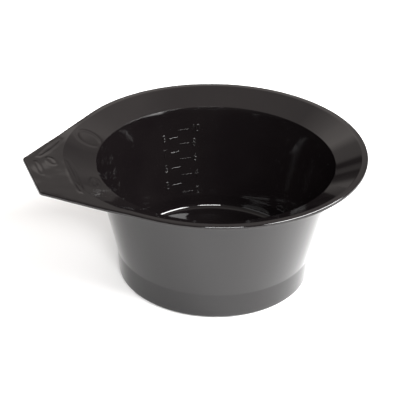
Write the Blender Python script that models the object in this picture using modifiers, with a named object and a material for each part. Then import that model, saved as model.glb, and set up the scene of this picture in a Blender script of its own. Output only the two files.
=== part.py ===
"""Hair color bowl: a moulded plastic bowl with a tab handle and a non-slip ring.

Metres, +Z up. The bowl stands on z = 0 and the tab handle points along -X.
The origin is under the centre of the whole object's box, so the bowl's axis
is at x = AXIS_X.
"""
import math

import bmesh
import bpy
from mathutils import Matrix, Vector

# Driving dimensions of the bowl, as radii from its axis and heights over the foot
RIM_RADIUS = 0.0700
RIM_HEIGHT = 0.0631
THROAT_DROP = 0.0060
INNER_TOP_RADIUS = 0.0552
INNER_TOP_DROP = 0.0070
INNER_CREASE_RADIUS = 0.0444
INNER_FLOOR_RADIUS = 0.0439
FLOOR_HEIGHT = 0.0056
FLOOR_THICKNESS = 0.0020
SHEET = 0.0012
OUTER_TOP_RADIUS = 0.0563
CREASE_RADIUS = 0.0465
CREASE_HEIGHT = 0.0127
FOOT_RADIUS = 0.0456
SKIRT = 0.0024

# Tab handle: a flatter brim beyond the rim, cut to a straight-sided outline
TAB_REACH = 0.0874
TAB_HALF_WIDTH = 0.0163
TAB_CORNER = 0.0035
TAB_RISE = 0.0013
BRIM_WIDTH = 0.0025
BRIM_SPARE = 0.0040

# Non-slip ring, pressed between the foot's skirt and a locating rib
RING_PROUD = 0.0005
RING_WIDTH = 0.0042
RING_GROOVE_WIDTH = 0.0010
RING_GROOVE_DEPTH = 0.0006
RING_CHAMFER = 0.0004
FIT_GAP = 0.0003
RIB = 0.0012
RIB_HEIGHT = 0.0022

# Raised graduations on the inner wall, one mark for each step of volume
FLUID_OUNCE = 29.5735e-6
OUNCE_MARKS = range(2, 11)
OUNCE_AZIMUTH = math.radians(90.7)
OUNCE_TICK = 0.0058
MILLILITRE_STEP = 30.0e-6
MILLILITRE_MARKS = range(2, 12)
MILLILITRE_AZIMUTH = math.radians(146.4)
MILLILITRE_TICK = 0.0032
TICK_WIDTH = 0.0006
TICK_SPACE = 0.0001
TICK_PROUD = 0.0003
TICK_ROOT = 0.0006

# Fillets of the turned profile
FLOOR_FILLET = 0.0032
INNER_CREASE_FILLET = 0.0060
THROAT_FILLET = 0.0006
NECK_FILLET = 0.0015
CREASE_FILLET = 0.0060
FOOT_EDGE = 0.0010

# Fineness of the mesh, and the angle at which its edges shade sharp
STEPS = 96
ARC_STEPS = 4
MERGE = 0.00005
SHARP = math.radians(30.0)

# Materials
PLASTIC_COLOUR = (0.0040, 0.0035, 0.0036)
PLASTIC_ROUGHNESS = 0.08
RUBBER_COLOUR = (0.02, 0.02, 0.02)
RUBBER_ROUGHNESS = 0.7

# Where the parts stand
AXIS_X = (TAB_REACH - RIM_RADIUS) / 2
FOOT_Z = RING_PROUD
RIM_Z = FOOT_Z + RIM_HEIGHT
FLOOR_Z = FOOT_Z + FLOOR_HEIGHT
RECESS_Z = FLOOR_Z - FLOOR_THICKNESS
CREASE_Z = FOOT_Z + CREASE_HEIGHT
INNER_TOP_Z = RIM_Z - INNER_TOP_DROP
INNER_SLOPE = (INNER_TOP_RADIUS - INNER_CREASE_RADIUS) / (INNER_TOP_Z - CREASE_Z)
BRIM_START = RIM_RADIUS - BRIM_WIDTH
BRIM_SLOPE = TAB_RISE / (TAB_REACH - BRIM_START)


def clear_scene():
    for obj in list(bpy.data.objects):
        bpy.data.objects.remove(obj, do_unlink=True)


def new_collection(name):
    collection = bpy.data.collections.new(name)
    bpy.context.scene.collection.children.link(collection)
    return collection


def plastic(name, colour, roughness):
    material = bpy.data.materials.new(name)
    material.use_nodes = True
    shader = material.node_tree.nodes["Principled BSDF"]
    shader.inputs["Base Color"].default_value = (*colour, 1.0)
    shader.inputs["Roughness"].default_value = roughness
    shader.inputs["Metallic"].default_value = 0.0
    return material


def rounded(corners, steps=ARC_STEPS):
    """A polyline through (x, y, radius) corners, each rounded by an arc of its radius."""
    points = []
    for index, (x, y, radius) in enumerate(corners):
        corner = Vector((x, y))
        if radius == 0.0:
            points.append(corner)
            continue
        before = (Vector(corners[index - 1][:2]) - corner).normalized()
        after = (Vector(corners[(index + 1) % len(corners)][:2]) - corner).normalized()
        half = before.angle(after) / 2
        centre = corner + (before + after).normalized() * radius / math.sin(half)
        start = corner + before * radius / math.tan(half) - centre
        end = corner + after * radius / math.tan(half) - centre
        turn = start.angle(end)
        for step in range(steps + 1):
            share = step / steps
            blend = start * math.sin((1 - share) * turn) + end * math.sin(share * turn)
            points.append(centre + blend / math.sin(turn))
    return points


def turned(name, profile, closed, collection):
    """A profile of (radius, height) points turned about the bowl's axis."""
    mesh = bpy.data.meshes.new(name)
    count = len(profile)
    edges = [(i, i + 1) for i in range(count - 1)]
    if closed:
        edges.append((count - 1, 0))
    mesh.from_pydata([(x, 0.0, z) for x, z in profile], edges, [])
    obj = bpy.data.objects.new(name, mesh)
    obj.location.x = AXIS_X
    collection.objects.link(obj)
    screw = obj.modifiers.new("Turn", "SCREW")
    screw.axis = "Z"
    screw.steps = STEPS
    screw.render_steps = STEPS
    screw.use_merge_vertices = True
    screw.merge_threshold = MERGE
    screw.use_smooth_shade = True
    return obj


def as_guide(obj):
    obj.display_type = "WIRE"
    obj.hide_render = True


def boolean(obj, other, operation):
    modifier = obj.modifiers.new(operation.title(), "BOOLEAN")
    modifier.operation = operation
    modifier.object = other
    modifier.solver = "EXACT"


def settle(obj, material):
    """Make the modifiers' result the object's mesh, shaded smooth but for its edges."""
    depsgraph = bpy.context.evaluated_depsgraph_get()
    mesh = bpy.data.meshes.new_from_object(obj.evaluated_get(depsgraph))
    mesh.name = obj.name
    obj.modifiers.clear()
    obj.data = mesh
    mesh.materials.clear()
    mesh.materials.append(material)
    mesh.shade_smooth()
    mesh.set_sharp_from_angle(angle=SHARP)


def bowl_profile():
    """From the middle of the floor, over the brim, down the outside and in under the foot."""
    brim_end = TAB_REACH + BRIM_SPARE
    brim_top = RIM_Z + BRIM_SLOPE * (brim_end - BRIM_START)
    throat_radius = INNER_TOP_RADIUS + INNER_SLOPE * (INNER_TOP_DROP - THROAT_DROP)
    neck_z = RIM_Z - THROAT_DROP - SHEET
    skirt_inside = FOOT_RADIUS - SKIRT
    rib_outside = skirt_inside - RING_WIDTH - 2 * FIT_GAP
    rib_z = RECESS_Z - RIB_HEIGHT
    return rounded([
        (0.0, FLOOR_Z, 0.0),
        (INNER_FLOOR_RADIUS, FLOOR_Z, FLOOR_FILLET),
        (INNER_CREASE_RADIUS, CREASE_Z, INNER_CREASE_FILLET),
        (throat_radius, RIM_Z - THROAT_DROP, THROAT_FILLET),
        (BRIM_START, RIM_Z, 0.0),
        (brim_end, brim_top, 0.0),
        (brim_end, brim_top - SHEET, 0.0),
        (BRIM_START, RIM_Z - SHEET, 0.0),
        (OUTER_TOP_RADIUS, neck_z, NECK_FILLET),
        (CREASE_RADIUS, CREASE_Z, CREASE_FILLET),
        (FOOT_RADIUS, FOOT_Z, FOOT_EDGE),
        (skirt_inside, FOOT_Z, 0.0),
        (skirt_inside, RECESS_Z, 0.0),
        (rib_outside, RECESS_Z, 0.0),
        (rib_outside, rib_z, 0.0),
        (rib_outside - RIB, rib_z, 0.0),
        (rib_outside - RIB, RECESS_Z, 0.0),
        (0.0, RECESS_Z, 0.0),
    ])


def plan_outline():
    """The rim's circle with the tab's straight sides running off it at a tangent."""
    corner = Vector((TAB_REACH, TAB_HALF_WIDTH))
    tangent = math.atan2(corner.y, corner.x) + math.acos(RIM_RADIUS / corner.length)
    start = math.pi - tangent
    steps = round(STEPS * start / math.pi)
    circle = []
    for step in range(steps + 1):
        angle = start * (1 - 2 * step / steps)
        circle.append((RIM_RADIUS * math.cos(angle), RIM_RADIUS * math.sin(angle), 0.0))
    tab = [(-TAB_REACH, -TAB_HALF_WIDTH, TAB_CORNER), (-TAB_REACH, TAB_HALF_WIDTH, TAB_CORNER)]
    return rounded(circle + tab)


def outline_guide(collection):
    """The plan outline as a tall solid, which keeps the tab and trims the rest of the brim."""
    curve = bpy.data.curves.new("plan_outline", "CURVE")
    curve.dimensions = "2D"
    curve.fill_mode = "BOTH"
    curve.extrude = RIM_Z
    outline = plan_outline()
    spline = curve.splines.new("POLY")
    spline.points.add(len(outline) - 1)
    for point, place in zip(spline.points, outline):
        point.co = (place.x, place.y, 0.0, 1.0)
    spline.use_cyclic_u = True
    drawn = bpy.data.objects.new("plan_outline_curve", curve)
    collection.objects.link(drawn)
    depsgraph = bpy.context.evaluated_depsgraph_get()
    mesh = bpy.data.meshes.new_from_object(drawn.evaluated_get(depsgraph))
    bpy.data.objects.remove(drawn, do_unlink=True)
    work = bmesh.new()
    work.from_mesh(mesh)
    bmesh.ops.remove_doubles(work, verts=work.verts, dist=MERGE)
    bmesh.ops.recalc_face_normals(work, faces=work.faces)
    work.to_mesh(mesh)
    work.free()
    guide = bpy.data.objects.new("plan_outline", mesh)
    guide.location = (AXIS_X, 0.0, RIM_Z / 2)
    collection.objects.link(guide)
    as_guide(guide)
    return guide


def wall_radius(z):
    """Radius of the inner wall at a height over its crease."""
    return INNER_CREASE_RADIUS + INNER_SLOPE * (z - CREASE_Z)


def fill_level(volume):
    """Height at which the inside holds a volume, for one that fills it past the crease."""
    floor, crease = INNER_FLOOR_RADIUS, INNER_CREASE_RADIUS
    low = math.pi / 3 * (CREASE_Z - FLOOR_Z) * (floor ** 2 + floor * crease + crease ** 2)
    radius = (3 * INNER_SLOPE * (volume - low) / math.pi + crease ** 3) ** (1 / 3)
    return CREASE_Z + (radius - crease) / INNER_SLOPE


def add_tick(work, volume, azimuth, shift, length):
    """A short raised bar along the inner wall, shifted sideways from its scale's azimuth."""
    level = fill_level(volume)
    radius = wall_radius(level)
    turn = Matrix.Rotation(azimuth - shift / radius, 4, "Z")
    lean = Matrix.Rotation(math.atan(INNER_SLOPE), 4, "Y")
    place = Matrix.Translation((radius + (TICK_ROOT - TICK_PROUD) / 2, 0.0, level))
    size = Matrix.Diagonal((TICK_PROUD + TICK_ROOT, length, TICK_WIDTH, 1.0))
    bmesh.ops.create_cube(work, size=1.0, matrix=turn @ place @ lean @ size)


def add_scale(work, unit, marks, azimuth, length):
    """One volume scale: even marks to one side of its azimuth and odd marks to the other."""
    for mark in marks:
        side = 1 if mark % 2 == 0 else -1
        add_tick(work, mark * unit, azimuth, side * (length + TICK_SPACE) / 2, length)


def graduations(collection):
    """The fluid ounce scale and the millilitre scale, as one guide."""
    work = bmesh.new()
    add_scale(work, FLUID_OUNCE, OUNCE_MARKS, OUNCE_AZIMUTH, OUNCE_TICK)
    add_scale(work, MILLILITRE_STEP, MILLILITRE_MARKS, MILLILITRE_AZIMUTH, MILLILITRE_TICK)
    mesh = bpy.data.meshes.new("graduations")
    work.to_mesh(mesh)
    work.free()
    marks = bpy.data.objects.new("graduations", mesh)
    marks.location.x = AXIS_X
    collection.objects.link(marks)
    as_guide(marks)
    return marks


def make_bowl(parts, guides):
    bowl = turned("bowl_body", bowl_profile(), False, parts)
    boolean(bowl, outline_guide(guides), "INTERSECT")
    boolean(bowl, graduations(guides), "UNION")
    settle(bowl, plastic("black_gloss_plastic", PLASTIC_COLOUR, PLASTIC_ROUGHNESS))


def make_ring(parts):
    outside = FOOT_RADIUS - SKIRT - FIT_GAP
    inside = outside - RING_WIDTH
    middle = (outside + inside) / 2
    top = RECESS_Z - FIT_GAP
    groove = RING_GROOVE_WIDTH / 2
    profile = [
        (outside - RING_CHAMFER, top),
        (outside, top - RING_CHAMFER),
        (outside, RING_CHAMFER),
        (outside - RING_CHAMFER, 0.0),
        (middle + groove, 0.0),
        (middle + groove, RING_GROOVE_DEPTH),
        (middle - groove, RING_GROOVE_DEPTH),
        (middle - groove, 0.0),
        (inside + RING_CHAMFER, 0.0),
        (inside, RING_CHAMFER),
        (inside, top - RING_CHAMFER),
        (inside + RING_CHAMFER, top),
    ]
    ring = turned("non_slip_ring", profile, True, parts)
    settle(ring, plastic("black_rubber", RUBBER_COLOUR, RUBBER_ROUGHNESS))


def main():
    clear_scene()
    parts = new_collection("hair_color_bowl")
    guides = new_collection("guides")
    make_bowl(parts, guides)
    make_ring(parts)


main()
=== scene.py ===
"""Looks of the hair color bowl: the glossy moulding, its raised marks and the rubber ring."""
import math

import bmesh
import bpy
from mathutils import Matrix, Vector, noise


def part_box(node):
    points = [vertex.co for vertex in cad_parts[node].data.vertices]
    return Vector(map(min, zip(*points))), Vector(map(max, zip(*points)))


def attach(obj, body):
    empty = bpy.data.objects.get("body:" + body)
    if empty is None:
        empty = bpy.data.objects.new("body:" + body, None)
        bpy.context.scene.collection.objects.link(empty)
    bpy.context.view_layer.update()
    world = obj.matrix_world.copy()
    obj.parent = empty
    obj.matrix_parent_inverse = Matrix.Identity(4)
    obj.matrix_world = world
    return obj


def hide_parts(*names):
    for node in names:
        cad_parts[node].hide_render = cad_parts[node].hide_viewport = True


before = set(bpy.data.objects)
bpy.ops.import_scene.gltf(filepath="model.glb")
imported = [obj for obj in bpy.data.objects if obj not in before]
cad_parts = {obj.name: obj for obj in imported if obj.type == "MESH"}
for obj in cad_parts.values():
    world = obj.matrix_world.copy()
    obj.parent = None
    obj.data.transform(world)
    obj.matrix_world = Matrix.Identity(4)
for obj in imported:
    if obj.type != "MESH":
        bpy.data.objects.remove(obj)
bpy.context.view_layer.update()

MM = 0.001

# The bowl in plan and in height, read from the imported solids
BOWL_LOW, BOWL_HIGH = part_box("bowl_body")
RING_LOW, RING_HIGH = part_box("non_slip_ring")
RIM_RADIUS = (BOWL_HIGH.y - BOWL_LOW.y) / 2
AXIS_X = BOWL_HIGH.x - RIM_RADIUS
TAB_REACH = AXIS_X - BOWL_LOW.x
FOOT_Z = BOWL_LOW.z

# The turned section, as radii from the axis and heights over the foot, as the solids have it
RIM_HEIGHT = 63.1 * MM
THROAT_RADIUS = 55.5 * MM
THROAT_DROP = 6.0 * MM
INNER_TOP_RADIUS = 55.2 * MM
INNER_TOP_DROP = 7.0 * MM
INNER_CREASE_RADIUS = 44.4 * MM
INNER_FLOOR_RADIUS = 43.9 * MM
FLOOR_HEIGHT = 5.6 * MM
FLOOR_THICKNESS = 2.0 * MM
SHEET = 1.2 * MM
OUTER_TOP_RADIUS = 56.3 * MM
CREASE_RADIUS = 46.5 * MM
CREASE_HEIGHT = 12.7 * MM
FOOT_RADIUS = 45.6 * MM
SKIRT = 2.4 * MM
TAB_HALF_WIDTH = 16.3 * MM
TAB_CORNER = 3.5 * MM
TAB_RISE = 1.3 * MM
RIB = 1.2 * MM
RIB_HEIGHT = 2.2 * MM
RING_WIDTH = 4.2 * MM
FIT_GAP = 0.3 * MM
GATE_RADIUS = 1.6 * MM
GATE_HEIGHT = 0.5 * MM

# Rounding of the section's corners, and the bead along the rim's edge, thicker than the sheet
FLOOR_FILLET = 2.8 * MM
THROAT_FILLET = 0.12 * MM
BRIM_FILLET = 1.2 * MM
NECK_FILLET = 1.5 * MM
CREASE_FILLET = 6.0 * MM
FOOT_EDGE = 1.0 * MM
SKIRT_EDGE = 0.4 * MM
EDGE_TOP = 0.85 * MM
EDGE_BOTTOM = 0.30 * MM
LIP = 1.65 * MM
LIP_REACH = 1.5 * MM

# The flat brim is narrow round the rim, and starts further out where it runs into the tab.
# The bend at its start takes up the clear stretch.
BRIM_WIDTH = 2.8 * MM
TAB_BRIM_RADIUS = 70.4 * MM
TAB_BRIM_SPREAD = math.radians(38.0)
BRIM_CLEAR = 0.8 * MM

# How finely the surfaces are divided, closest on the tab and by its corners
BRIM_RINGS = 34
EDGE_STEPS = 7
WALL_STEP = 2.0 * MM
FLANGE_STEP = 0.6 * MM
RIM_DEGREES = 1.0
TAB_DEGREES = 0.5
CORNER_DEGREES = 0.25
TAB_END = 46.0
CORNER_START = 6.0
CORNER_END = 15.0
SHARP = math.radians(40.0)
WELD = 0.002 * MM

RIM_Z = FOOT_Z + RIM_HEIGHT
FLOOR_Z = FOOT_Z + FLOOR_HEIGHT
CREASE_Z = FOOT_Z + CREASE_HEIGHT
RECESS_Z = FLOOR_Z - FLOOR_THICKNESS
INNER_SLOPE = (INNER_TOP_RADIUS - INNER_CREASE_RADIUS) / (RIM_Z - INNER_TOP_DROP - CREASE_Z)
BRIM_SLOPE = TAB_RISE / (TAB_REACH - RIM_RADIUS)
TANGENT = math.atan2(TAB_HALF_WIDTH, TAB_REACH) + math.acos(
    RIM_RADIUS / math.hypot(TAB_REACH, TAB_HALF_WIDTH))

# Volume marks, one for each step of volume, in fluid ounces and in millilitres
OUNCE_STEP = 29.5735e-6
OUNCE_MARKS = range(2, 11)
OUNCE_AZIMUTH = math.radians(90.7)
OUNCE_TICK = 5.6 * MM
OUNCE_FIGURES = 5.4 * MM
OUNCE_PROUD = 0.24 * MM
MILLILITRES = 30
MILLILITRE_STEP = MILLILITRES * 1e-6
MILLILITRE_MARKS = range(2, 12)
MILLILITRE_AZIMUTH = math.radians(146.4)
MILLILITRE_TICK = 2.4 * MM
MILLILITRE_FIGURES = 2.8 * MM
MILLILITRE_PROUD = 0.06 * MM
MARK_ROOT = 0.08 * MM
TICK_WIDTH = 0.56 * MM
TICK_SPACE = 0.1 * MM
TICK_ALONG = 18
TICK_ACROSS = 14
TICK_POINT = 0.05
ODD_TICK = 0.9
FIGURE_GAP = 1.1 * MM
FIGURE_NARROW = 0.80
FIGURE_PITCH = 0.60
FIGURE_THIN = 0.034
FIGURE_BEVEL = 0.052

# The rubber ring's corners, and the grip groove round its underside
RING_STEPS = 180
RING_STEP = 1.5 * MM
RING_EDGE = 0.45 * MM
GROOVE_HALF = 0.5 * MM
GROOVE_FLOOR = 0.4 * MM
GROOVE_DEPTH = 0.6 * MM
GROOVE_EDGE = 0.2 * MM


def rounded(corners, steps=6):
    """A polyline through (x, y, radius) corners, each rounded by an arc of its radius."""
    points = []
    for index, (x, y, radius) in enumerate(corners):
        corner = Vector((x, y))
        if radius == 0.0:
            points.append(corner)
            continue
        before = (Vector(corners[index - 1][:2]) - corner).normalized()
        after = (Vector(corners[(index + 1) % len(corners)][:2]) - corner).normalized()
        half = before.angle(after) / 2
        centre = corner + (before + after).normalized() * radius / math.sin(half)
        start = corner + before * radius / math.tan(half) - centre
        end = corner + after * radius / math.tan(half) - centre
        turn = start.angle(end)
        for step in range(steps + 1):
            share = step / steps
            spoke = start * math.sin((1 - share) * turn) + end * math.sin(share * turn)
            points.append(centre + spoke / math.sin(turn))
    return points


def stretches(points, longest, flange_longest=None):
    """How many parts each stretch of a section needs, with its own limit out on the flange."""
    counts = []
    for start, end in zip(points, points[1:]):
        on_flange = flange_longest and min(start.x, end.x) >= THROAT_RADIUS
        limit = flange_longest if on_flange else longest
        counts.append(max(1, math.ceil((end - start).length / limit)))
    return counts


def divided(points, counts):
    """The same polyline with each stretch cut into so many parts."""
    result = [points[0]]
    for start, end, count in zip(points, points[1:], counts):
        result.extend(start.lerp(end, step / count) for step in range(1, count + 1))
    return result


def outline(angle):
    """Radius of the plan outline at an angle from the tab, and the slant of its edge there."""
    angle = abs(angle)
    if angle >= TANGENT:
        return RIM_RADIUS, 0.0
    centre = Vector((TAB_REACH - TAB_CORNER, 0.0))
    centre.y = (RIM_RADIUS - TAB_CORNER - centre.x * math.cos(TANGENT)) / math.sin(TANGENT)
    normal = Vector((math.cos(TANGENT), math.sin(TANGENT)))
    side_end = centre + normal * TAB_CORNER
    if angle >= math.atan2(side_end.y, side_end.x):
        return RIM_RADIUS / math.cos(TANGENT - angle), TANGENT - angle
    if angle <= math.atan2(centre.y, TAB_REACH):
        return TAB_REACH / math.cos(angle), angle
    ray = Vector((math.cos(angle), math.sin(angle)))
    along = centre.dot(ray)
    reach = along + math.sqrt(along ** 2 - centre.length_squared + TAB_CORNER ** 2)
    return reach, (ray * reach - centre).angle(ray)


def brim_start(angle):
    """Radius at which the flange turns into the flat brim, at an angle from the tab."""
    share = math.exp(-(angle / TAB_BRIM_SPREAD) ** 4)
    narrow = RIM_RADIUS - BRIM_WIDTH
    return narrow + (TAB_BRIM_RADIUS - narrow) * share


def brim_section(angle):
    """The brim beyond the flange: out along its top, round its edge and back underneath."""
    start = brim_start(angle)
    reach, slant = outline(angle)
    stretch = 1.0 / math.cos(slant)
    top_end = reach - EDGE_TOP * stretch
    bottom_end = reach - EDGE_BOTTOM * stretch

    def height(radius):
        return RIM_Z + BRIM_SLOPE * (radius - start)

    rings = [start + BRIM_CLEAR + (top_end - start - BRIM_CLEAR) * step / BRIM_RINGS
             for step in range(BRIM_RINGS)]
    top = [Vector((radius, height(radius))) for radius in rings]
    edge = []
    for step in range(EDGE_STEPS + 1):
        turn = math.pi / 2 * step / EDGE_STEPS
        edge.append(Vector((top_end + EDGE_TOP * stretch * math.sin(turn),
                            height(reach) - EDGE_TOP * (1 - math.cos(turn)))))
    for step in range(EDGE_STEPS + 1):
        turn = math.pi / 2 * step / EDGE_STEPS
        edge.append(Vector((bottom_end + EDGE_BOTTOM * stretch * math.cos(turn),
                            height(reach) - LIP + EDGE_BOTTOM * (1 - math.sin(turn)))))
    bottom = []
    for radius in reversed(rings):
        share = max(0.0, min(1.0, (radius - bottom_end + LIP_REACH) / LIP_REACH))
        thick = SHEET + (LIP - SHEET) * share * share * (3 - 2 * share)
        bottom.append(Vector((radius, height(radius) - thick)))
    return top + edge + bottom


def inside_section(angle):
    """From the middle of the floor up the inner wall and over the throat to the brim."""
    start = brim_start(angle)
    throat = INNER_TOP_RADIUS + INNER_SLOPE * (INNER_TOP_DROP - THROAT_DROP)
    corners = [
        (0.0, FLOOR_Z, 0.0),
        (INNER_FLOOR_RADIUS, FLOOR_Z, FLOOR_FILLET),
        (INNER_CREASE_RADIUS, CREASE_Z, CREASE_FILLET),
        (throat, RIM_Z - THROAT_DROP, THROAT_FILLET),
        (start, RIM_Z, BRIM_FILLET),
        (start + BRIM_CLEAR, RIM_Z + BRIM_SLOPE * BRIM_CLEAR, 0.0),
    ]
    return rounded(corners)[:-1]


def outside_section(angle):
    """From the brim's underside down the outer wall, round the foot and in to the middle."""
    start = brim_start(angle)
    neck_z = RIM_Z - THROAT_DROP - SHEET
    skirt_inside = FOOT_RADIUS - SKIRT
    rib_outside = skirt_inside - RING_WIDTH - 2 * FIT_GAP
    rib_z = RECESS_Z - RIB_HEIGHT
    corners = [
        (start + BRIM_CLEAR, RIM_Z + BRIM_SLOPE * BRIM_CLEAR - SHEET, 0.0),
        (start, RIM_Z - SHEET, BRIM_FILLET),
        (OUTER_TOP_RADIUS, neck_z, NECK_FILLET),
        (CREASE_RADIUS, CREASE_Z, CREASE_FILLET),
        (FOOT_RADIUS, FOOT_Z, FOOT_EDGE),
        (skirt_inside, FOOT_Z, SKIRT_EDGE),
        (skirt_inside, RECESS_Z, SKIRT_EDGE),
        (rib_outside, RECESS_Z, SKIRT_EDGE),
        (rib_outside, rib_z, SKIRT_EDGE),
        (rib_outside - RIB, rib_z, SKIRT_EDGE),
        (rib_outside - RIB, RECESS_Z, SKIRT_EDGE),
        (GATE_RADIUS, RECESS_Z, SKIRT_EDGE),
        (GATE_RADIUS * 0.8, RECESS_Z - GATE_HEIGHT, SKIRT_EDGE / 2),
        (0.0, RECESS_Z - GATE_HEIGHT, 0.0),
    ]
    return rounded(corners)[1:]


def turning_angles():
    """Angles from the tab, once round, closer together on the tab and by its corners."""
    angles = []
    degrees = -180.0
    while degrees < 180.0:
        angles.append(math.radians(degrees))
        off = abs(degrees + 0.01)
        if off >= TAB_END:
            degrees += RIM_DEGREES
        elif CORNER_START <= off < CORNER_END:
            degrees += CORNER_DEGREES
        else:
            degrees += TAB_DEGREES
    return angles


# Low closed ripples where the melt drew in as it cooled, on the tab and the flange beside it.
# Each has its middle (out from the axis, across the tab), half length, half width, turn in
# degrees and height, with the lengths in millimetres.
RIPPLES = (
    ((51.5, 33.5), 5.6, 5.0, 30.0, 0.19),
    ((69.2, -4.5), 15.5, 1.5, 93.0, 0.17),
    ((73.0, 23.5), 10.0, 1.6, 134.0, 0.14),
    ((75.5, 10.5), 3.6, 1.7, 75.0, 0.12),
    ((60.0, -7.0), 5.0, 1.8, 105.0, 0.18),
    ((82.5, 5.5), 6.0, 1.2, 88.0, 0.09),
)
RIPPLE_WIDTH = 0.75 * MM

# The slower swells round them: how many to a metre and how high, with the quick ones rising
# towards the tab's tip
SLOW_SWELLS = 60.0
SLOW_HEIGHT = 0.24 * MM
QUICK_SWELLS = 150.0
QUICK_HEIGHT = 0.03 * MM
TIP_HEIGHT = 0.09 * MM


def ripple(out, across, middle, half_length, half_width, turn, high):
    """Height of one ripple: a soft ridge along an ellipse."""
    turn = math.radians(turn)
    offset = Vector((out / MM - middle[0], across / MM - middle[1]))
    along = offset.dot(Vector((math.cos(turn), math.sin(turn)))) / half_length
    aside = offset.dot(Vector((-math.sin(turn), math.cos(turn)))) / half_width
    size = max(0.05, math.hypot(along, aside))
    away = (size - 1) * size / math.hypot(along / half_length, aside / half_width, 1e-6) * MM
    return high * MM * math.exp(-(away / RIPPLE_WIDTH) ** 2)


def waviness(place):
    """How far the moulding has drawn up or down where it cooled, most of all on the tab."""
    out, across = AXIS_X - place.x, place.y
    from_axis = math.hypot(out, across) / RIM_RADIUS
    on_tab = max(0.0, out) / RIM_RADIUS * max(0.0, min(1.0, (from_axis - 0.80) / 0.15))
    near_tip = max(0.0, min(1.0, (out / RIM_RADIUS - 1.0) / 0.10))
    slow = noise.noise(Vector((out, across, 0.3)) * SLOW_SWELLS)
    quick = noise.noise(Vector((out, across, 4.7)) * QUICK_SWELLS)
    height = (slow * SLOW_HEIGHT + quick * (QUICK_HEIGHT + TIP_HEIGHT * near_tip)) * on_tab
    if out > 0.0:
        height += sum(ripple(out, across, *shape) for shape in RIPPLES)
    return height


def make_bowl():
    """The whole moulding as one closed surface, lofted round the axis section by section."""
    inside_parts = stretches(inside_section(0.0), WALL_STEP, FLANGE_STEP)
    outside_parts = stretches(outside_section(0.0), WALL_STEP)
    work = bmesh.new()
    columns = []
    for angle in turning_angles():
        inside = divided(inside_section(angle), inside_parts)
        outside = divided(outside_section(angle), outside_parts)
        column = []
        for point in inside[1:] + brim_section(angle) + outside[:-1]:
            place = Vector((AXIS_X - point.x * math.cos(angle), point.x * math.sin(angle), point.y))
            if point.y > RIM_Z - THROAT_DROP - 2 * SHEET and point.x > THROAT_RADIUS:
                place.z += waviness(place)
            column.append(work.verts.new(place))
        columns.append(column)
    floor_middle = work.verts.new((AXIS_X, 0.0, FLOOR_Z))
    gate_middle = work.verts.new((AXIS_X, 0.0, RECESS_Z - GATE_HEIGHT))
    for left, right in zip(columns, columns[1:] + columns[:1]):
        work.faces.new((floor_middle, right[0], left[0]))
        for row in range(len(left) - 1):
            work.faces.new((left[row], right[row], right[row + 1], left[row + 1]))
        work.faces.new((gate_middle, left[-1], right[-1]))
    bmesh.ops.remove_doubles(work, verts=work.verts, dist=WELD)
    bmesh.ops.recalc_face_normals(work, faces=work.faces)
    return finished("bowl_moulding", work)


def finished(name, work):
    """A smooth-shaded object from a bmesh, in the scene."""
    mesh = bpy.data.meshes.new(name)
    work.to_mesh(mesh)
    work.free()
    mesh.shade_smooth()
    mesh.set_sharp_from_angle(angle=SHARP)
    obj = bpy.data.objects.new(name, mesh)
    bpy.context.scene.collection.objects.link(obj)
    return obj


def wall_radius(level):
    """Radius of the inner wall at a level over the crease."""
    return INNER_CREASE_RADIUS + INNER_SLOPE * (level - CREASE_Z)


def on_wall(azimuth, level, proud):
    """A point on the inner wall at a level, standing proud of it by so much."""
    lean = math.atan(INNER_SLOPE)
    radius = wall_radius(level) - proud * math.cos(lean)
    z = level + proud * math.sin(lean)
    return Vector((AXIS_X + radius * math.cos(azimuth), radius * math.sin(azimuth), z))


def fill_level(volume):
    """Height at which the inside holds a volume, for one that fills it past the crease."""
    floor, crease = INNER_FLOOR_RADIUS, INNER_CREASE_RADIUS
    low = math.pi / 3 * (CREASE_Z - FLOOR_Z) * (floor ** 2 + floor * crease + crease ** 2)
    radius = (3 * INNER_SLOPE * (volume - low) / math.pi + crease ** 3) ** (1 / 3)
    return CREASE_Z + (radius - crease) / INNER_SLOPE


def add_bar(work, azimuth, level, sideways, length, high):
    """A raised bar with round ends and a domed top, straight across the curved wall."""
    radius = wall_radius(level)
    rows = []
    for i in range(TICK_ALONG + 1):
        reach = math.sin((i / TICK_ALONG - 0.5) * math.pi)
        past = max(0.0, abs(reach) * length - length + TICK_WIDTH) / TICK_WIDTH
        full = max(TICK_POINT, math.sqrt(max(0.0, 1 - past ** 2)))
        side = sideways + reach * length / 2
        crown = (1 - reach ** 2) * (length / 2) ** 2 / (2 * radius)
        row = []
        for j in range(TICK_ACROSS + 1):
            turn = math.pi * j / TICK_ACROSS
            up = math.cos(turn) * TICK_WIDTH / 2 * full
            proud = (MARK_ROOT + high + crown) * math.sin(turn) * full - MARK_ROOT
            row.append(work.verts.new(on_wall(azimuth - side / radius, level + up, proud)))
        rows.append(row)
    for near, far in zip(rows, rows[1:]):
        for j in range(TICK_ACROSS):
            work.faces.new((near[j], far[j], far[j + 1], near[j + 1]))
        work.faces.new((near[-1], far[-1], far[0], near[0]))
    work.faces.new(list(reversed(rows[0])))
    work.faces.new(rows[-1])


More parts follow.
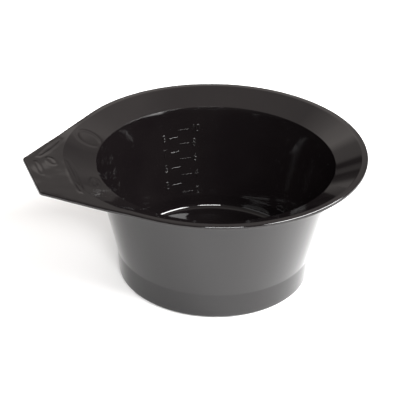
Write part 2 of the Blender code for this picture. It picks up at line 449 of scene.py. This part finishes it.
def add_number(work, text, azimuth, level, sideways, size, proud):
    """Raised figures laid onto the inner wall, centred sideways from the azimuth."""
    curve = bpy.data.curves.new("figures", "FONT")
    curve.body = text
    curve.size = size
    curve.align_x = "CENTER"
    curve.align_y = "CENTER"
    curve.offset = -FIGURE_THIN * size
    curve.extrude = MARK_ROOT / 2
    curve.bevel_depth = FIGURE_BEVEL * size
    curve.bevel_resolution = 3
    curve.resolution_u = 5
    drawn = bpy.data.objects.new("figures", curve)
    bpy.context.scene.collection.objects.link(drawn)
    depsgraph = bpy.context.evaluated_depsgraph_get()
    mesh = bpy.data.meshes.new_from_object(drawn.evaluated_get(depsgraph))
    bpy.data.objects.remove(drawn, do_unlink=True)
    bpy.data.curves.remove(curve)
    radius = wall_radius(level)
    top = max(vertex.co.z for vertex in mesh.vertices)
    for vertex in mesh.vertices:
        side = sideways + vertex.co.x * FIGURE_NARROW
        vertex.co = on_wall(azimuth - side / radius, level + vertex.co.y,
                            vertex.co.z - top + proud)
    start = len(work.verts)
    work.from_mesh(mesh)
    work.verts.ensure_lookup_table()
    bmesh.ops.remove_doubles(work, verts=work.verts[start:], dist=WELD)
    bpy.data.meshes.remove(mesh)


def add_scale(work, marks, azimuth, volume, tick, figures, proud, label):
    """One volume scale: even marks with figures on their right, odd marks on their left."""
    for mark in marks:
        side = 1 if mark % 2 == 0 else -1
        level = fill_level(mark * volume)
        text = label(mark)
        width = figures * FIGURE_PITCH * FIGURE_NARROW * len(text)
        length = tick if mark % 2 == 0 else ODD_TICK * tick
        add_bar(work, azimuth, level, side * (length + TICK_SPACE) / 2, length, proud)
        add_number(work, text, azimuth, level,
                   side * (length + TICK_SPACE + FIGURE_GAP + width / 2), figures, proud)


def make_marks():
    """Both volume scales, raised on the inner wall."""
    work = bmesh.new()
    add_scale(work, OUNCE_MARKS, OUNCE_AZIMUTH, OUNCE_STEP, OUNCE_TICK, OUNCE_FIGURES,
              OUNCE_PROUD, str)
    add_scale(work, MILLILITRE_MARKS, MILLILITRE_AZIMUTH, MILLILITRE_STEP, MILLILITRE_TICK,
              MILLILITRE_FIGURES, MILLILITRE_PROUD, lambda mark: str(mark * MILLILITRES))
    bmesh.ops.recalc_face_normals(work, faces=work.faces)
    return finished("volume_marks", work)


def make_ring():
    """The rubber ring, turned from a section with soft corners and a grip groove."""
    outside = FOOT_RADIUS - SKIRT - FIT_GAP
    inside = outside - RING_WIDTH
    middle = (outside + inside) / 2
    low, high = RING_LOW.z, RING_HIGH.z
    section = rounded([
        (outside, high, RING_EDGE),
        (outside, low, RING_EDGE),
        (middle + GROOVE_HALF, low, GROOVE_EDGE),
        (middle + GROOVE_FLOOR, low + GROOVE_DEPTH, GROOVE_EDGE),
        (middle - GROOVE_FLOOR, low + GROOVE_DEPTH, GROOVE_EDGE),
        (middle - GROOVE_HALF, low, GROOVE_EDGE),
        (inside, low, RING_EDGE),
        (inside, high, RING_EDGE),
    ])
    section = divided(section, stretches(section, RING_STEP))
    work = bmesh.new()
    columns = []
    for step in range(RING_STEPS):
        angle = 2 * math.pi * step / RING_STEPS
        columns.append([work.verts.new((AXIS_X + point.x * math.cos(angle),
                                        point.x * math.sin(angle), point.y))
                        for point in section])
    for left, right in zip(columns, columns[1:] + columns[:1]):
        for row in range(len(section)):
            below = (row + 1) % len(section)
            work.faces.new((left[row], right[row], right[below], left[below]))
    bmesh.ops.recalc_face_normals(work, faces=work.faces)
    return finished("rubber_ring", work)


def shader_of(name):
    """A new material, its node tree and its Principled BSDF."""
    material = bpy.data.materials.new(name)
    material.use_nodes = True
    return material, material.node_tree, material.node_tree.nodes["Principled BSDF"]


def add_node(tree, kind, **values):
    """A node with some of its settings and input values filled in by name."""
    node = tree.nodes.new(kind)
    for key, value in values.items():
        if hasattr(node, key):
            setattr(node, key, value)
        else:
            node.inputs[key.replace("_", " ").title()].default_value = value
    return node


def gloss_plastic():
    """Black moulded plastic: mirror-smooth, with slow moulding waves and fine hairlines."""
    material, tree, shader = shader_of("black_gloss_plastic")
    shader.inputs["IOR"].default_value = 1.46
    place = add_node(tree, "ShaderNodeTexCoord")
    cloud = add_node(tree, "ShaderNodeTexNoise", scale=45.0, detail=3.0, roughness=0.5)
    tint = add_node(tree, "ShaderNodeValToRGB")
    tint.color_ramp.elements[0].position = 0.35
    tint.color_ramp.elements[0].color = (0.0034, 0.0026, 0.0029, 1.0)
    tint.color_ramp.elements[1].position = 0.70
    tint.color_ramp.elements[1].color = (0.0044, 0.0035, 0.0037, 1.0)
    gloss = add_node(tree, "ShaderNodeMapRange", to_min=0.045, to_max=0.085)
    stretch = add_node(tree, "ShaderNodeMapping")
    stretch.inputs["Scale"].default_value = (1.0, 14.0, 5.0)
    hairlines = add_node(tree, "ShaderNodeTexNoise", scale=160.0, detail=2.0, roughness=0.6)
    worn = add_node(tree, "ShaderNodeMapRange", from_min=0.62, from_max=0.75,
                    to_min=0.0, to_max=0.10)
    rough = add_node(tree, "ShaderNodeMath", operation="ADD")
    waves = add_node(tree, "ShaderNodeTexNoise", scale=60.0, detail=1.0, roughness=0.4)
    peel = add_node(tree, "ShaderNodeTexNoise", scale=900.0, detail=1.0)
    wave_bump = add_node(tree, "ShaderNodeBump", strength=0.5, distance=0.00006)
    peel_bump = add_node(tree, "ShaderNodeBump", strength=0.15, distance=0.000004)
    link = tree.links.new
    for node in (cloud, waves, peel, stretch):
        link(place.outputs["Object"], node.inputs["Vector"])
    link(stretch.outputs["Vector"], hairlines.inputs["Vector"])
    link(cloud.outputs["Fac"], tint.inputs["Fac"])
    link(tint.outputs["Color"], shader.inputs["Base Color"])
    link(cloud.outputs["Fac"], gloss.inputs["Value"])
    link(hairlines.outputs["Fac"], worn.inputs["Value"])
    link(gloss.outputs["Result"], rough.inputs[0])
    link(worn.outputs["Result"], rough.inputs[1])
    link(rough.outputs["Value"], shader.inputs["Roughness"])
    link(waves.outputs["Fac"], wave_bump.inputs["Height"])
    link(peel.outputs["Fac"], peel_bump.inputs["Height"])
    link(wave_bump.outputs["Normal"], peel_bump.inputs["Normal"])
    link(peel_bump.outputs["Normal"], shader.inputs["Normal"])
    return material


def mark_plastic():
    """The same black plastic, left a little less glossy by the cutter that sank the marks."""
    material, tree, shader = shader_of("black_mark_plastic")
    shader.inputs["IOR"].default_value = 1.46
    shader.inputs["Base Color"].default_value = (0.0045, 0.0036, 0.0038, 1.0)
    place = add_node(tree, "ShaderNodeTexCoord")
    cloud = add_node(tree, "ShaderNodeTexNoise", scale=400.0, detail=2.0, roughness=0.5)
    gloss = add_node(tree, "ShaderNodeMapRange", to_min=0.17, to_max=0.23)
    tree.links.new(place.outputs["Object"], cloud.inputs["Vector"])
    tree.links.new(cloud.outputs["Fac"], gloss.inputs["Value"])
    tree.links.new(gloss.outputs["Result"], shader.inputs["Roughness"])
    return material


def soft_rubber():
    """Matt black rubber with a fine grain and a little dust in it."""
    material, tree, shader = shader_of("black_rubber")
    place = add_node(tree, "ShaderNodeTexCoord")
    grain = add_node(tree, "ShaderNodeTexNoise", scale=2500.0, detail=4.0, roughness=0.7)
    dust = add_node(tree, "ShaderNodeTexNoise", scale=220.0, detail=5.0, roughness=0.65)
    tint = add_node(tree, "ShaderNodeValToRGB")
    tint.color_ramp.elements[0].position = 0.40
    tint.color_ramp.elements[0].color = (0.014, 0.014, 0.014, 1.0)
    tint.color_ramp.elements[1].position = 0.75
    tint.color_ramp.elements[1].color = (0.034, 0.033, 0.031, 1.0)
    rough = add_node(tree, "ShaderNodeMapRange", to_min=0.55, to_max=0.80)
    bump = add_node(tree, "ShaderNodeBump", strength=0.5, distance=0.00004)
    link = tree.links.new
    link(place.outputs["Object"], grain.inputs["Vector"])
    link(place.outputs["Object"], dust.inputs["Vector"])
    link(dust.outputs["Fac"], tint.inputs["Fac"])
    link(tint.outputs["Color"], shader.inputs["Base Color"])
    link(grain.outputs["Fac"], rough.inputs["Value"])
    link(rough.outputs["Result"], shader.inputs["Roughness"])
    link(grain.outputs["Fac"], bump.inputs["Height"])
    link(bump.outputs["Normal"], shader.inputs["Normal"])
    return material


def dress(piece, material, node=None):
    """Give a piece its material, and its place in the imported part."""
    piece.data.materials.append(material)
    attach(piece, "root")
    if node:
        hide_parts(node)


# The camera looks from the front, turned a little to the tab's side. Angles are in degrees.
VIEW_AZIMUTH = 21.11
CAMERA_DISTANCE = 528.2 * MM
CAMERA_OVER_RIM = 280.7 * MM
CAMERA_PITCH = 30.293
CAMERA_YAW = 0.765
CAMERA_ROLL = 1.08
LENS = 116.5
SENSOR = 36.0


def seen_from(azimuth, elevation, distance):
    """A place so far from the bowl's mouth, with azimuth 0 at the camera and 90 on its right."""
    turn = math.radians(azimuth - 90.0 - VIEW_AZIMUTH)
    lift = math.radians(elevation)
    level = distance * math.cos(lift)
    return Vector((AXIS_X + level * math.cos(turn), level * math.sin(turn),
                   RIM_Z + distance * math.sin(lift)))


def make_camera():
    """The camera that looks at the bowl."""
    camera = bpy.data.objects.new("camera", bpy.data.cameras.new("camera"))
    bpy.context.scene.collection.objects.link(camera)
    camera.data.lens = LENS
    camera.data.sensor_width = SENSOR
    camera.data.clip_start = 0.01
    place = seen_from(0.0, 0.0, CAMERA_DISTANCE)
    place.z = RIM_Z + CAMERA_OVER_RIM
    turn = Matrix.Rotation(math.radians(CAMERA_YAW - VIEW_AZIMUTH), 4, "Z")
    tilt = Matrix.Rotation(math.radians(90.0 - CAMERA_PITCH), 4, "X")
    roll = Matrix.Rotation(math.radians(CAMERA_ROLL), 4, "Z")
    camera.matrix_world = Matrix.Translation(place) @ turn @ tilt @ roll
    bpy.context.scene.camera = camera


def softbox(name, azimuth, elevation, distance, size, radiance):
    """A rectangular light of a given radiance, aimed at the bowl's mouth."""
    data = bpy.data.lights.new(name, "AREA")
    data.shape = "RECTANGLE"
    data.size, data.size_y = size
    data.energy = radiance * math.pi * size[0] * size[1]
    light = bpy.data.objects.new(name, data)
    bpy.context.scene.collection.objects.link(light)
    light.location = seen_from(azimuth, elevation, distance)
    aim = Vector((AXIS_X, 0.0, RIM_Z)) - light.location
    light.rotation_euler = aim.to_track_quat("-Z", "Y").to_euler()
    light.visible_camera = False
    return light


FLOOR_REACH = 6.0
FLOOR_CLEAR = 0.02 * MM


def make_floor():
    """A plain white floor just under the bowl."""
    work = bmesh.new()
    bmesh.ops.create_circle(work, cap_ends=True, segments=96, radius=FLOOR_REACH)
    floor = finished("floor", work)
    floor.location.z = -FLOOR_CLEAR
    material, tree, shader = shader_of("floor_white")
    shader.inputs["Base Color"].default_value = (0.86, 0.86, 0.86, 1.0)
    shader.inputs["Roughness"].default_value = 0.6
    shader.inputs["Specular IOR Level"].default_value = 0.2
    shader.inputs["Emission Color"].default_value = (1.0, 1.0, 1.0, 1.0)
    shader.inputs["Emission Strength"].default_value = 0.09
    floor.data.materials.append(material)


# The room's tint, and its brightness at heights in degrees: round the camera, and on the far
# side to the camera's right and left
WARM = (1.07, 1.0, 0.95)
ROOM_FRONT = ((0, 0.10), (20, 0.22), (35, 0.30), (60, 0.30), (72, 0.42), (90, 0.60))
ROOM_RIGHT = ((0, 0.04), (6, 0.16), (12, 0.26), (25, 0.24), (33, 0.42), (37, 0.76),
              (46, 0.68), (60, 0.74), (72, 0.60), (90, 0.60))
ROOM_LEFT = ((0, 0.22), (4, 0.25), (7, 0.06), (11, 0.03), (12.5, 0.16), (14.5, 0.15),
             (16, 0.03), (18.5, 0.05), (20.5, 0.30), (28, 0.42), (30, 0.66), (33, 1.05),
             (40, 0.98), (46, 0.74), (54, 0.50), (66, 0.60), (90, 0.60))


def room_ramp(tree, levels, height):
    """The room's brightness over the sine of the height, through (degrees, level) stops."""
    ramp = add_node(tree, "ShaderNodeValToRGB")
    stops = ramp.color_ramp.elements
    stops.remove(stops[1])
    stops[0].color = (levels[0][1],) * 3 + (1.0,)
    for degrees, level in levels[1:]:
        stop = stops.new(math.sin(math.radians(degrees)))
        stop.color = (level, level, level, 1.0)
    tree.links.new(height, ramp.inputs["Fac"])
    return ramp.outputs["Color"]


def side_share(tree, direction, azimuth, start, end):
    """How far a direction lies toward an azimuth, from none at start to all at end."""
    toward = add_node(tree, "ShaderNodeVectorMath", operation="DOT_PRODUCT")
    toward.inputs[1].default_value = seen_from(azimuth, 0.0, 1.0) - Vector((AXIS_X, 0.0, RIM_Z))
    share = add_node(tree, "ShaderNodeMapRange", interpolation_type="SMOOTHSTEP",
                     from_min=start, from_max=end)
    tree.links.new(direction, toward.inputs[0])
    tree.links.new(toward.outputs["Value"], share.inputs["Value"])
    return share.outputs["Result"]


def blend(tree, share, low, high):
    """One colour at no share, fading to the other at a full share."""
    mix = add_node(tree, "ShaderNodeMix", data_type="RGBA")
    tree.links.new(share, mix.inputs["Factor"])
    tree.links.new(low, mix.inputs["A"])
    tree.links.new(high, mix.inputs["B"])
    return mix.outputs["Result"]


def make_world():
    """A pale room with dim walls and a lighter ceiling, which shows in the gloss."""
    world = bpy.data.worlds.new("studio")
    world.use_nodes = True
    bpy.context.scene.world = world
    tree = world.node_tree
    place = add_node(tree, "ShaderNodeTexCoord").outputs["Generated"]
    split = add_node(tree, "ShaderNodeSeparateXYZ")
    tree.links.new(place, split.inputs["Vector"])
    height = split.outputs["Z"]
    right = room_ramp(tree, ROOM_RIGHT, height)
    left = room_ramp(tree, ROOM_LEFT, height)
    front = room_ramp(tree, ROOM_FRONT, height)
    far = blend(tree, side_share(tree, place, -90.0, -0.20, 0.05), right, left)
    room = blend(tree, side_share(tree, place, 180.0, -0.25, 0.25), front, far)
    tint = add_node(tree, "ShaderNodeVectorMath", operation="MULTIPLY")
    tint.inputs[1].default_value = WARM
    tree.links.new(room, tint.inputs[0])
    tree.links.new(tint.outputs["Vector"], tree.nodes["Background"].inputs["Color"])


def make_studio():
    """The room, the floor, two lights that show in the gloss and a fill that doesn't."""
    make_world()
    make_floor()
    softbox("key", 76.5, 42.0, 0.80, (0.84, 0.21), 42.0)
    softbox("strip", 7.0, 31.5, 0.80, (0.34, 0.12), 45.0)
    scrim = softbox("scrim", -80.0, 50.0, 1.60, (1.20, 1.20), 2.5)
    scrim.visible_glossy = False
    bpy.context.scene.view_settings.view_transform = "Standard"


make_camera()
plastic = gloss_plastic()
dress(make_bowl(), plastic, "bowl_body")
dress(make_marks(), mark_plastic())
dress(make_ring(), soft_rubber(), "non_slip_ring")
make_studio()
